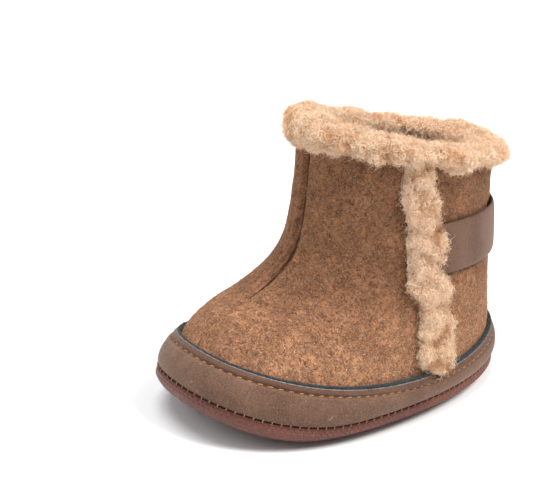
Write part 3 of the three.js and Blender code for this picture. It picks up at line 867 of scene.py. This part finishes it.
# Share of the curls, thickness, width of the ringlet, turns and rise, each from and to, in mm.
RINGLETS = (0.34, (0.075, 0.13), (0.50, 0.95), (0.8, 1.4), (0.1, 1.0))
FRIZZ = (0.56, (0.035, 0.060), (0.35, 0.90), (1.2, 2.4), (0.4, 2.0))
LINING_CURLS = (1.0, (0.05, 0.10), (0.45, 0.90), (1.0, 1.8), (0.2, 1.2))
FLYAWAY = (0.10, (0.028, 0.042), (0.60, 1.30), (0.4, 1.0), (1.4, 3.0))


def scattered(points, quads, movable, normal, count, rng):
    """Places spread evenly over the movable faces, with the surface's normal at each."""
    good = quads[movable[quads].min(1) > 0.5]
    p = points[good]
    area = np.linalg.norm(np.cross(p[:, 2] - p[:, 0], p[:, 3] - p[:, 1]), axis=-1)
    area = area * (0.25 + clumps(p.mean(1)))
    pick = good[rng.choice(len(good), count, p=area / area.sum())]
    share = rng.dirichlet(np.ones(4), count)
    return np.einsum("nk,nkd->nd", share, points[pick]), unit(
        np.einsum("nk,nkd->nd", share, normal[pick])
    )


def curls(root, out, high, kind, rng):
    """Curled locks of pile, each a ringlet that winds up and away from its root. The locks that grow
    low between the clumps get the darker strand colours, as painted shade in the hollows."""
    count = len(root)
    _, thickness, width, turns, rise = kind

    def between(span):
        return rng.uniform(*span, count)[:, None, None]

    side = unit(np.cross(out, rng.normal(size=(count, 3))))
    other = unit(np.cross(out, side) + out * rng.uniform(-0.9, 0.9, count)[:, None])
    s = np.linspace(0, 1, CURL_STEPS)[None, :, None]
    swirl = 2 * PI * between(turns) * s + between((0, 2 * PI))
    radius = between(width) * (1 - 0.35 * s)
    ring = side[:, None] * np.cos(swirl) + other[:, None] * np.sin(swirl)
    climbing = out[:, None] * (between(rise) * s - 0.25)
    path = root[:, None] + climbing + radius * ring - radius[:, :1] * ring[:, :1]
    thick = rng.uniform(*thickness, count)[:, None] * np.linspace(1, 0.55, CURL_STEPS)[None]
    points, faces = tubes(path, thick, 3)
    # Painted shade: the lower a lock's root lies between the clumps, the darker its strand colour.
    shade = 2.95 - 4.6 * high + rng.normal(0, 0.45, count)
    kinds = np.clip(np.round(shade), 0, len(PILE_STRANDS) - 1).astype(int)
    slots = np.concatenate([np.repeat(kinds, (CURL_STEPS - 1) * 3), np.repeat(kinds, 2)])
    return points, faces, slots


def grown(name, points, quads, movable, curl_count, rng):
    """The curls on a ground, in pieces of at most CURLS_IN_PIECE."""
    normal = vertex_normals(points, quads)
    made = []
    for kind in (RINGLETS, FRIZZ, FLYAWAY):
        count = round(curl_count * kind[0])
        root, out = scattered(points, quads, movable, normal, count, rng)
        high = clumps(root)
        for first in range(0, count, CURLS_IN_PIECE):
            some = slice(first, first + CURLS_IN_PIECE)
            curl_points, faces, slots = curls(root[some], out[some], high[some], kind, rng)
            called = f"{name}_curls_{len(made) + 1}"
            made.append(new_object(called, curl_points, faces, PILE_STRANDS, slots))
    return made


def pile_piece(name, parts, curl_count, replaces, bend, seed):
    """One fleece trim: its puffed ground, and the curls on it in pieces of their own."""
    rng = np.random.default_rng(seed)
    grounds, faces, loose, high, start = [], [], [], [], 0
    for points, quads, movable in parts:
        puffed, clump = puff(points, quads, movable)
        grounds.append(puffed)
        faces.append(quads + start)
        loose.append(movable)
        high.append(clump)
        start += len(points)
    points, quads, movable = np.concatenate(grounds), np.concatenate(faces), np.concatenate(loose)
    kept = {"clump": np.concatenate(high)}
    ground = new_object(name, points, quads, [PILE_MATERIAL], values=kept)
    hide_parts(*replaces)
    made = [ground]
    made += grown(name, points, quads, movable, curl_count, rng)
    for piece in made:
        carry(piece, bend)


def make_pile():
    medial = cuff_arc(medial_back, medial_front, 190)
    pile_piece("cuff_medial", [medial], 9500, ["medial_cuff"], False, 1)
    rear = cuff_arc(slit_rear_edge, back_edge, 104)
    pile_piece("cuff_lateral_rear", [rear], 5500, ["lateral_rear_cuff"], False, 2)
    front_nodes = ["lateral_front_cuff", "flap_cuff", "lower_placket", "flap_placket"]
    front_parts = [cuff_arc(front_edge, slit_edge, 80), placket_strip(120, 36)]
    pile_piece("cuff_and_placket", front_parts, 10500, front_nodes, True, 3)


# ------------------------------------------------------------------ rand

RAND_COLUMNS = 420
STITCH_DROP = 2.05  # from the rand's top edge down to its stitch row
RAND_PITCH, SOLE_PITCH = 3.1, 2.8


def rand_angles(count=RAND_COLUMNS):
    return np.arange(count) * 2 * PI / count


def rand_levels(angle):
    top = climb(angle, RAND_LEVEL, -RAND_LIP)
    bottom = climb(angle, 0.0, 0.1)
    return bottom, top


def way_round(p):
    """Distance round a closed loop from its first point to each, and the whole way round."""
    step = np.linalg.norm(np.roll(p, -1, axis=0) - p, axis=1)
    return np.concatenate([[0], np.cumsum(step)[:-1]]), step.sum()


def girth(angle, level, offset):
    return way_round(at(angle, level, offset))


def rand_profile(share, stitch_share):
    """The rand's face: tucked in at the groove, full in its lower half, drawn in by the stitches,
    and upright above them."""
    body = 1.3 + 0.35 * share + 1.5 * np.sin(PI * np.clip(share, 0, 1) ** 0.8)
    tuck = -0.45 * bell(share, 0.03)
    draw = -0.85 * bell(share - stitch_share, 0.045)
    return body + tuck + draw


def make_rand():
    angle = rand_angles()
    bottom, top = rand_levels(angle)
    height = np.linalg.norm(at(angle, top, 2.0) - at(angle, bottom, 2.0), axis=1)
    stitch_share = 1 - STITCH_DROP / height
    rows = 34
    share = np.linspace(0, 1, rows)[None, :]
    level = bottom[:, None] + (top - bottom)[:, None] * share
    wide = np.broadcast_to(angle[:, None], level.shape)
    offset = rand_profile(share, stitch_share[:, None])
    distance, whole = girth(angle, level[:, rows - 3], offset[:, rows - 3])
    count = round(whole / RAND_PITCH)
    pull = 0.5 - 0.5 * np.cos(2 * PI * count * distance / whole)
    near = bell(share - stitch_share[:, None], 0.10)
    offset = offset + 0.22 * pull[:, None] * near
    base = at(wide, level, offset)
    offset = offset + 0.16 * soft_noise(base, 9) * np.sin(PI * share) + 0.05 * soft_noise(base, 2.5)
    outside = at(wide, level, offset)
    lip = climb(angle, top, 0.28)
    lip_out = at(angle, lip, offset[:, -1] - 0.22)[:, None]
    lip_in = at(angle, lip, 1.25)[:, None]
    inside = at(angle[:, None], level[:, ::-4], 1.0)
    loops = np.concatenate([outside, lip_out, lip_in, inside], axis=1)
    size = loops.shape[1]
    points, quads = loft(loops, wrap=True)
    column = quads.min(1) % size
    slots = ((column >= rows - 1) & (column <= rows)).astype(int)
    above = (column < rows - 1) & (column > round((rows - 1) * float(stitch_share.mean())))
    slots[above] = 2
    materials = [RAND_MATERIAL, CUT_EDGE_MATERIAL, BURNISHED_MATERIAL]
    piece = new_object("rand_nubuck", points, outward(points, quads), materials, slots)
    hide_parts("rand")
    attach(piece, "root")
    stitch_level = bottom + (top - bottom) * stitch_share
    stitch_offset = rand_profile(stitch_share, stitch_share)
    return angle, stitch_level, stitch_offset, count


STITCH_LENGTH, STITCH_RADIUS, STITCH_PROUD, STITCH_SLANT = 1.95, 0.22, 0.58, 0.25


def make_stitching(stitch_line):
    """Single stitches spaced evenly round the foot. Each dips into the surface at both ends."""
    angle, level, offset, count = stitch_line
    distance, whole = girth(angle, level, offset)
    steps = 7
    s = np.linspace(-0.5, 0.5, steps)
    centre = (np.arange(count) + 0.5) * whole / count
    where = (centre[:, None] + s[None] * STITCH_LENGTH) % whole
    turn = np.interp(where, np.append(distance, whole), np.append(angle, 2 * PI))
    lev = np.interp(turn, np.append(angle, 2 * PI), np.append(level, level[0]))
    off = np.interp(turn, np.append(angle, 2 * PI), np.append(offset, offset[0]))
    lev = climb(turn, lev, STITCH_SLANT * s)
    arch = STITCH_PROUD * (1 - (2 * np.abs(s)) ** 2.4)[None] - 0.25
    path = at(turn, lev, off + arch)
    radii = np.broadcast_to(STITCH_RADIUS * (1 - 0.35 * (2 * np.abs(s)) ** 3), path.shape[:2])
    points, faces = tubes(path, radii, 7)
    piece = new_object("rand_stitches", points, faces, [STITCH_THREAD])
    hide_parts("rand_stitching")
    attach(piece, "root")
    sole_ticks()


def sole_ticks():
    """Short upright stitches that cross the groove between the sole and the rand."""
    angle = rand_angles()
    distance, whole = girth(angle, 0.0, 1.3)
    count = round(whole / SOLE_PITCH)
    turn = np.interp((np.arange(count) + 0.5) * whole / count, distance, angle)[:, None]
    rise = np.linspace(0.6, -0.6, 9)[None]
    level = climb(turn, 0.0, rise)
    bow = 1.45 - 0.9 * np.abs(rise) ** 1.5
    path = at(turn, level, bow)
    points, faces = tubes(path, np.full(path.shape[:2], 0.14), 6)
    piece = new_object("sole_stitches", points, faces, [STITCH_THREAD])
    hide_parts("sole_stitching")
    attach(piece, "root")


def make_backing():
    angle = rand_angles(360)[:, None]
    low = climb(angle, RAND_LEVEL, -6.0)
    at_toe = np.clip(np.cos(angle) - 0.2, 0, 1)
    high = climb(angle, RAND_LEVEL, -0.1 - 0.6 * at_toe)
    share = np.linspace(0, 1, 14)[None, :]
    level = low + (high - low) * share
    wide = np.broadcast_to(angle, level.shape)
    fray = 0.12 * soft_noise(face(wide, level), 1.3)
    flare = ramp(share - 0.72, 0.2)
    outer = 0.8 + 0.7 * flare + fray * flare
    loops = slab(wide, level, 0.3, outer)
    loops[:, 13] += (loops[:, 13] - loops[:, 12]) * (0.3 + fray[:, -1:])
    points, quads = loft(loops, wrap=True)
    piece = new_object("rand_felt_edge", points, outward(points, quads), [GREY_MATERIAL])
    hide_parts("rand_felt_backing")
    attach(piece, "root")


# ------------------------------------------------------------------ sole

SOLE_EDGE = 1.5  # the rand's thickness at the sole line


def sole_loop(inset, height, scale, count):
    angle = rand_angles(count)
    normal = face_normal(angle, 0.0)
    normal[:, 2] = 0
    inset = np.broadcast_to(inset, (count,))[:, None]
    p = face(angle, 0.0) + unit(normal) * (SOLE_EDGE - inset)
    p = p * scale
    p[:, 2] = height + sole_lift(p[:, 1])
    return p


# From ROLL_START back over ROLL_LENGTH the sheet comes to roll fully under, between two heights. Its
# roll lifts it and draws it in by a share of its inset.
ROLL_START, ROLL_LENGTH = -45.0, 35.0
ROLL_TOP, ROLL_BOTTOM = 3.5, 0.25
ROLL_LIFT, ROLL_INSET = 1.5, 0.9


def rolled_loop(inset, height, scale, count):
    """A loop of the sole's outside. From the ball to the heel the sheet rolls further under."""
    y = face(rand_angles(count), 0.0)[:, 1]
    roll = ramp(y - ROLL_START, ROLL_LENGTH)
    roll = roll * roll * (3 - 2 * roll)
    down = ramp(ROLL_TOP - height, ROLL_TOP - ROLL_BOTTOM)
    rise = ROLL_LIFT * math.sin(PI * down**1.5)
    return sole_loop(inset * (1 + ROLL_INSET * roll * down), height + rise * roll, scale, count)


def bumps(u, v):
    """Small rounded bricks in staggered rows, from 0 in the joints to 1."""
    row = np.floor(v / BUMP_Y)
    fx = (u / BUMP_X + 0.5 * (row % 2)) % 1 - 0.5
    fy = (v / BUMP_Y) % 1 - 0.5
    return np.clip(1.25 * (1 - (2 * np.abs(fx)) ** 2.6) * (1 - (2 * np.abs(fy)) ** 2.6), 0, 1)


def make_outsole():
    """A moulded sheet turned up round its edge, embossed underneath and up the rim."""
    count, radial = 720, 90
    inner_floor = [sole_loop(4.5, 1.6, k, count) for k in (0.02, 0.35, 0.7, 1.0)]
    wall = [(2.4, 3.0), (1.7, 4.9), (1.5, 5.4), (0.9, 5.68), (0.45, 5.62), (0.12, 5.42)]
    heights = np.linspace(5.15, 1.5, 12)
    bulge = 0.95 * ((heights - 3.5) / 2.0) ** 2 - 0.17
    under_edge = [(1.1, 1.05), (1.6, 0.75), (2.2, 0.5), (2.9, 0.35), (3.7, 0.27)]
    rim = [rolled_loop(i, z, 1.0, count) for i, z in wall + list(zip(bulge, heights)) + under_edge]
    under = [rolled_loop(4.5, 0.25, k, count) for k in np.linspace(1.0, 0.02, radial)]
    loops = np.array(inner_floor + rim + under)
    quads = grid_faces(len(loops), count, wrap_columns=True)
    points = loops.reshape(-1, 3)
    quads = outward(points, quads)
    normal = vertex_normals(points, quads)
    first, last = len(inner_floor) + len(wall) - 1, len(inner_floor) + len(rim)
    round_it, whole = way_round(loops[first])
    round_it = np.where(round_it > whole / 2, round_it - whole, round_it)
    climbed = np.cumsum(np.linalg.norm(np.diff(loops[:, 0], axis=0), axis=1))
    across, along = loops[..., 0].copy(), loops[..., 1].copy()
    across[first:last] = round_it[None]
    along[first:last] = climbed[first - 1 : last - 1, None]
    share = np.zeros(loops.shape[:2])
    share[first:last] = 0.3  # the embossing is worn and stretched where the sheet turns up
    share[last:] = 1.0
    share[last - 1 : last + 1] = 0.0
    lift = (bumps(across, along) - 0.3) * BUMP_HEIGHT * share
    points = points + normal * lift.reshape(-1, 1)
    points[:, 2] = np.maximum(points[:, 2], 0.0)
    ends = []
    for loop in (np.arange(count)[::-1], np.arange(count) + (len(loops) - 1) * count):
        middle = len(points)
        points = np.vstack([points, points[loop].mean(0)])
        ends.append(np.stack([loop, np.roll(loop, -1), np.full(count, middle)], -1))
    kept = {"across": across, "along": along, "emboss": share}
    kept = {key: np.append(numbers.ravel(), [0.0, 0.0]) for key, numbers in kept.items()}
    piece = new_object("sole_sheet", points, [quads, *ends], [RUBBER_MATERIAL], values=kept)
    face_outwards(piece)
    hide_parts("outsole")
    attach(piece, "root")


def face_outwards(piece, close_ends=False):
    """Turns every face outwards, after closing any open ends if asked to."""
    b = bmesh.new()
    b.from_mesh(piece.data)
    if close_ends:
        bmesh.ops.holes_fill(b, edges=[e for e in b.edges if e.is_boundary])
    bmesh.ops.recalc_face_normals(b, faces=b.faces)
    b.to_mesh(piece.data)
    b.free()


def make_footbed():
    count = 150
    scales = np.linspace(1.0, 0.03, 34)
    low = np.array([sole_loop(8.2, 7.6, k, count) for k in scales[::-3]])
    edge = np.array([sole_loop(7.7, 8.6, 1.0, count), sole_loop(8.1, 9.5, 1.0, count)])
    high = np.array([sole_loop(8.9, 9.9, k, count) for k in scales])
    low = np.concatenate([low, edge])
    loops = np.concatenate([low, high])
    points = loops.reshape(-1, 3)
    quads = outward(points, grid_faces(len(loops), count, wrap_columns=True))
    rise = np.zeros(len(points))
    rise[len(low) * count :] = 0.9
    points[:, 2] += rise * nubs(points, 3.0)
    piece = new_object("footbed_pile", points, quads, [LINING_MATERIAL])
    face_outwards(piece, close_ends=True)
    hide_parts("footbed_fleece")
    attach(piece, "root")


# ------------------------------------------------------------------ strap


STRAP_LEVEL = 5.5  # about the middle of the strap


def strap_angles(count):
    """From under the placket on the lateral side, round the heel, to the medial ankle."""

    def angle_at(y):
        return float(halve(lambda a: face(a, STRAP_LEVEL)[..., 1] > y, 0.3, 2.8))

    start, end = angle_at(STRAP_FRONT - 4.5), 2 * PI - angle_at(STRAP_FRONT)
    return np.linspace(start, end, count)


def make_strap():
    columns = 220
    angle = strap_angles(columns)[:, None]
    v = np.linspace(0, 1, 23)[None, :]
    # A round edge: the rows draw together where the section turns over.
    across = 0.5 - 0.5 * np.cos(PI * v)
    across = 0.35 * across + 0.65 * v
    thick = STRAP_OUTER - STRAP_INNER
    round_off = 1 - np.clip(np.abs(2 * across - 1), 0, 1) ** 10
    ends = np.clip(np.minimum(np.arange(columns), np.arange(columns)[::-1]) / 3, 0.15, 1)[:, None]
    # The free end has round corners.
    left_over = np.clip(np.linspace(columns - 1, 0, columns)[:, None] * 0.55, 0.15, 3.0)
    corner = 3.0 - np.sqrt(9.0 - (3.0 - left_over) ** 2)
    height = STRAP_LOW + corner + (STRAP_HIGH - STRAP_LOW - 2 * corner) * across
    wave = 0.25 * np.sin(angle * 5.0) + 0.12 * np.sin(angle * 13)
    level = level_at_height(np.broadcast_to(angle, (columns, 23)), height + 0 * angle)
    wide = np.broadcast_to(angle, level.shape)
    snug = np.clip((face(wide, level)[..., 0] + 20) / 12, 0, 1)
    middle = (STRAP_INNER + STRAP_OUTER) / 2 - 0.1 - 0.85 * snug
    middle = middle + (0.1 + 0.2 * snug) * np.sin(PI * across) + 0.4 * wave * snug
    half = (thick / 2 + 0.05) * (0.35 + 0.65 * round_off) * ends
    points, quads = loft(slab(wide, level, middle - half, middle + half), wrap=False)
    piece = new_object("strap", points, outward(points, quads), [STRAP_MATERIAL])
    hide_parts("strap_band", "strap_backing", "strap_end")
    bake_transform(piece)


LOOP_PATCH = (10.0, 38.0, 44.0, 58.0)
HOOK_PATCH = (16.0, 33.0, 46.5, 55.5)


def medial_place(y, z):
    """Angle and level on the medial side of places given by y and z."""
    y, z = np.broadcast_arrays(np.asarray(y, float), np.asarray(z, float))
    level = np.full(y.shape, STRAP_LEVEL)
    for _ in range(5):
        near, far = np.full(y.shape, PI + 0.1), np.full(y.shape, 2 * PI - 0.2)
        angle = halve(lambda a: face(a, level)[..., 1] < y, near, far)
        level = level_at_height(angle, z)
    return angle, level


def patch(name, bounds, inner, outer, loops, node, body):
    """One half of the hook and loop fastening: its tape, with rows of tiny loops on its face."""
    low_y, high_y, low_z, high_z = bounds
    y = np.linspace(high_y, low_y, round((high_y - low_y) / 0.8) + 1)[:, None]
    z = np.linspace(low_z, high_z, round((high_z - low_z) / 0.8) + 1)[None, :]
    angle, level = medial_place(y, z)
    points, quads = loft(slab(angle, level, inner, outer), wrap=False)
    tape = new_object(name, points, outward(points, quads), [HOOK_MATERIAL], crease=40)
    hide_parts(node)
    rng = np.random.default_rng(len(name))
    spot_y = np.arange(low_y + 0.4, high_y - 0.3, 0.75)
    spot_z = np.arange(low_z + 0.4, high_z - 0.3, 0.75)
    grid_y, grid_z = (g.ravel() for g in np.meshgrid(spot_y, spot_z))
    grid_y = grid_y + rng.uniform(-0.15, 0.15, len(grid_y))
    angle, level = medial_place(grid_y, grid_z)
    away = face_normal(angle, level) * (1 if loops > 0 else -1)
    root = at(angle, level, outer if loops > 0 else inner)
    turn = rng.uniform(0, PI, len(angle))[:, None]
    side = unit(np.cross(away, [0, 0, 1.0]))
    way = side * np.cos(turn) + np.cross(side, away) * np.sin(turn)
    s = np.linspace(0, PI, 6)[None, :, None]
    path = root[:, None] - way[:, None] * 0.25 * np.cos(s) + away[:, None] * abs(loops) * np.sin(s)
    loop_points, faces = tubes(path, np.full(path.shape[:2], 0.045), 3)
    pile = new_object(name + "_pile", loop_points, faces, [LOOP_STRAND])
    for piece in (tape, pile):
        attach(piece, body)


def patch_stitches(name, bounds, inset, offset, node, body):
    """A rectangle of single stitches."""
    low_y, high_y, low_z, high_z = bounds
    low_y, high_y, low_z, high_z = low_y + inset, high_y - inset, low_z + inset, high_z - inset
    corners = [(low_y, low_z), (high_y, low_z), (high_y, high_z), (low_y, high_z), (low_y, low_z)]
    s = np.linspace(-0.5, 0.5, 6)
    dashes = []
    for (y0, z0), (y1, z1) in zip(corners, corners[1:]):
        side = math.hypot(y1 - y0, z1 - z0)
        count = round(side / 1.9)
        middle = ((np.arange(count) + 0.5) / count)[:, None] + s[None] * 1.25 / side
        dashes.append(np.stack([y0 + (y1 - y0) * middle, z0 + (z1 - z0) * middle], -1))
    dashes = np.concatenate(dashes)
    angle, level = medial_place(dashes[..., 0], dashes[..., 1])
    arch = 0.28 * (1 - (2 * np.abs(s)) ** 2.2) - 0.12
    path = at(angle, level, offset + arch)
    points, faces = tubes(path, np.full(path.shape[:2], 0.17), 6)
    piece = new_object(name, points, faces, [STITCH_THREAD])
    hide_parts(node)
    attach(piece, body)


def make_fastening():
    patch("loop_tape", LOOP_PATCH, 0.2, 0.6, 0.28, "loop_patch", "root")
    patch("hook_tape", HOOK_PATCH, 0.85, 1.25, -0.22, "hook_patch", "strap_end")
    patch_stitches("loop_stitches", LOOP_PATCH, 1.0, 0.68, "loop_patch_stitching", "root")
    patch_stitches("hook_stitches", HOOK_PATCH, 0.8, 2.4, "hook_patch_stitching", "strap_end")


def dress_cad_nodes():
    """Small hidden or flat pieces keep their CAD shape and get a finish."""
    finishes = {
        "midsole_foam": FOAM_MATERIAL,
        "insole_board": BOARD_MATERIAL,
        "front_seam_thread": SEAM_THREAD,
        "back_seam_thread": SEAM_THREAD,
    }
    for node, material in finishes.items():
        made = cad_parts[node]
        if not made.material_slots:
            made.data.materials.append(None)
        for slot in made.material_slots:
            slot.link = "OBJECT"
            slot.material = material


# ------------------------------------------------------------------ studio

CAMERA_AZIMUTH, CAMERA_ELEVATION, CAMERA_ROLL = 54.94, 19.48, 2.0
CAMERA_DISTANCE = 0.5
CAMERA_TARGET = Vector((-0.03642, 0.0, 0.03854))
LENS, SENSOR = 99.55, 36.0
FLOOR_HALF = 60000  # far enough to reach the horizon
SKY_STRENGTH = 0.36


def make_camera():
    azimuth, elevation = math.radians(CAMERA_AZIMUTH), math.radians(CAMERA_ELEVATION)
    back = Vector(
        (
            math.sin(azimuth) * math.cos(elevation),
            -math.cos(azimuth) * math.cos(elevation),
            math.sin(elevation),
        )
    )
    right = Vector((math.cos(azimuth), math.sin(azimuth), 0))
    up = back.cross(right)
    roll = math.radians(CAMERA_ROLL)
    cos, sin = math.cos(roll), math.sin(roll)
    right, up = right * cos + up * sin, up * cos - right * sin
    data = bpy.data.cameras.new("camera")
    data.lens, data.sensor_width = LENS, SENSOR
    data.clip_start, data.clip_end = 0.01, 20
    camera = bpy.data.objects.new("camera", data)
    turn = Matrix((right, up, back)).transposed().to_4x4()
    camera.matrix_world = Matrix.Translation(CAMERA_TARGET + back * CAMERA_DISTANCE) @ turn
    bpy.context.scene.collection.objects.link(camera)
    bpy.context.scene.camera = camera


def distant_light(name, place, strength, spread, colour):
    """A far soft box seen from the bootie in the direction of place, spread degrees across."""
    data = bpy.data.lights.new(name, "SUN")
    data.energy, data.angle, data.color = strength, math.radians(spread), colour
    lamp = bpy.data.objects.new(name, data)
    lamp.location = place
    lamp.rotation_euler = Vector(place).to_track_quat("Z", "Y").to_euler()
    bpy.context.scene.collection.objects.link(lamp)


def make_studio():
    floor = new_object(
        "floor",
        np.array([(-1, -1, 0), (1, -1, 0), (1, 1, 0), (-1, 1, 0)], float) * FLOOR_HALF,
        np.array([(0, 1, 2, 3)]),
        [FLOOR_MATERIAL],
    )
    floor.location.z = -0.0002
    world = bpy.data.worlds.new("studio")
    world.use_nodes = True
    background = world.node_tree.nodes["Background"].inputs
    background["Color"].default_value = (1, 1, 1, 1)
    background["Strength"].default_value = SKY_STRENGTH
    bpy.context.scene.world = world
    bpy.context.scene.view_settings.view_transform = "Standard"
    distant_light("key", (1.0, 0.8, 1.65), 3.4, 28, (1.0, 0.985, 0.96))
    distant_light("top", (-0.2, -0.3, 2.0), 2.1, 36, (0.98, 0.99, 1.0))
    distant_light("fill", (-0.6, -1.4, 1.2), 0.85, 40, (0.97, 0.985, 1.0))


# ------------------------------------------------------------------ build

make_camera()
make_studio()
make_upper()
make_lining()
make_pile()
make_stitching(make_rand())
make_backing()
make_outsole()
make_footbed()
make_strap()
make_fastening()
dress_cad_nodes()
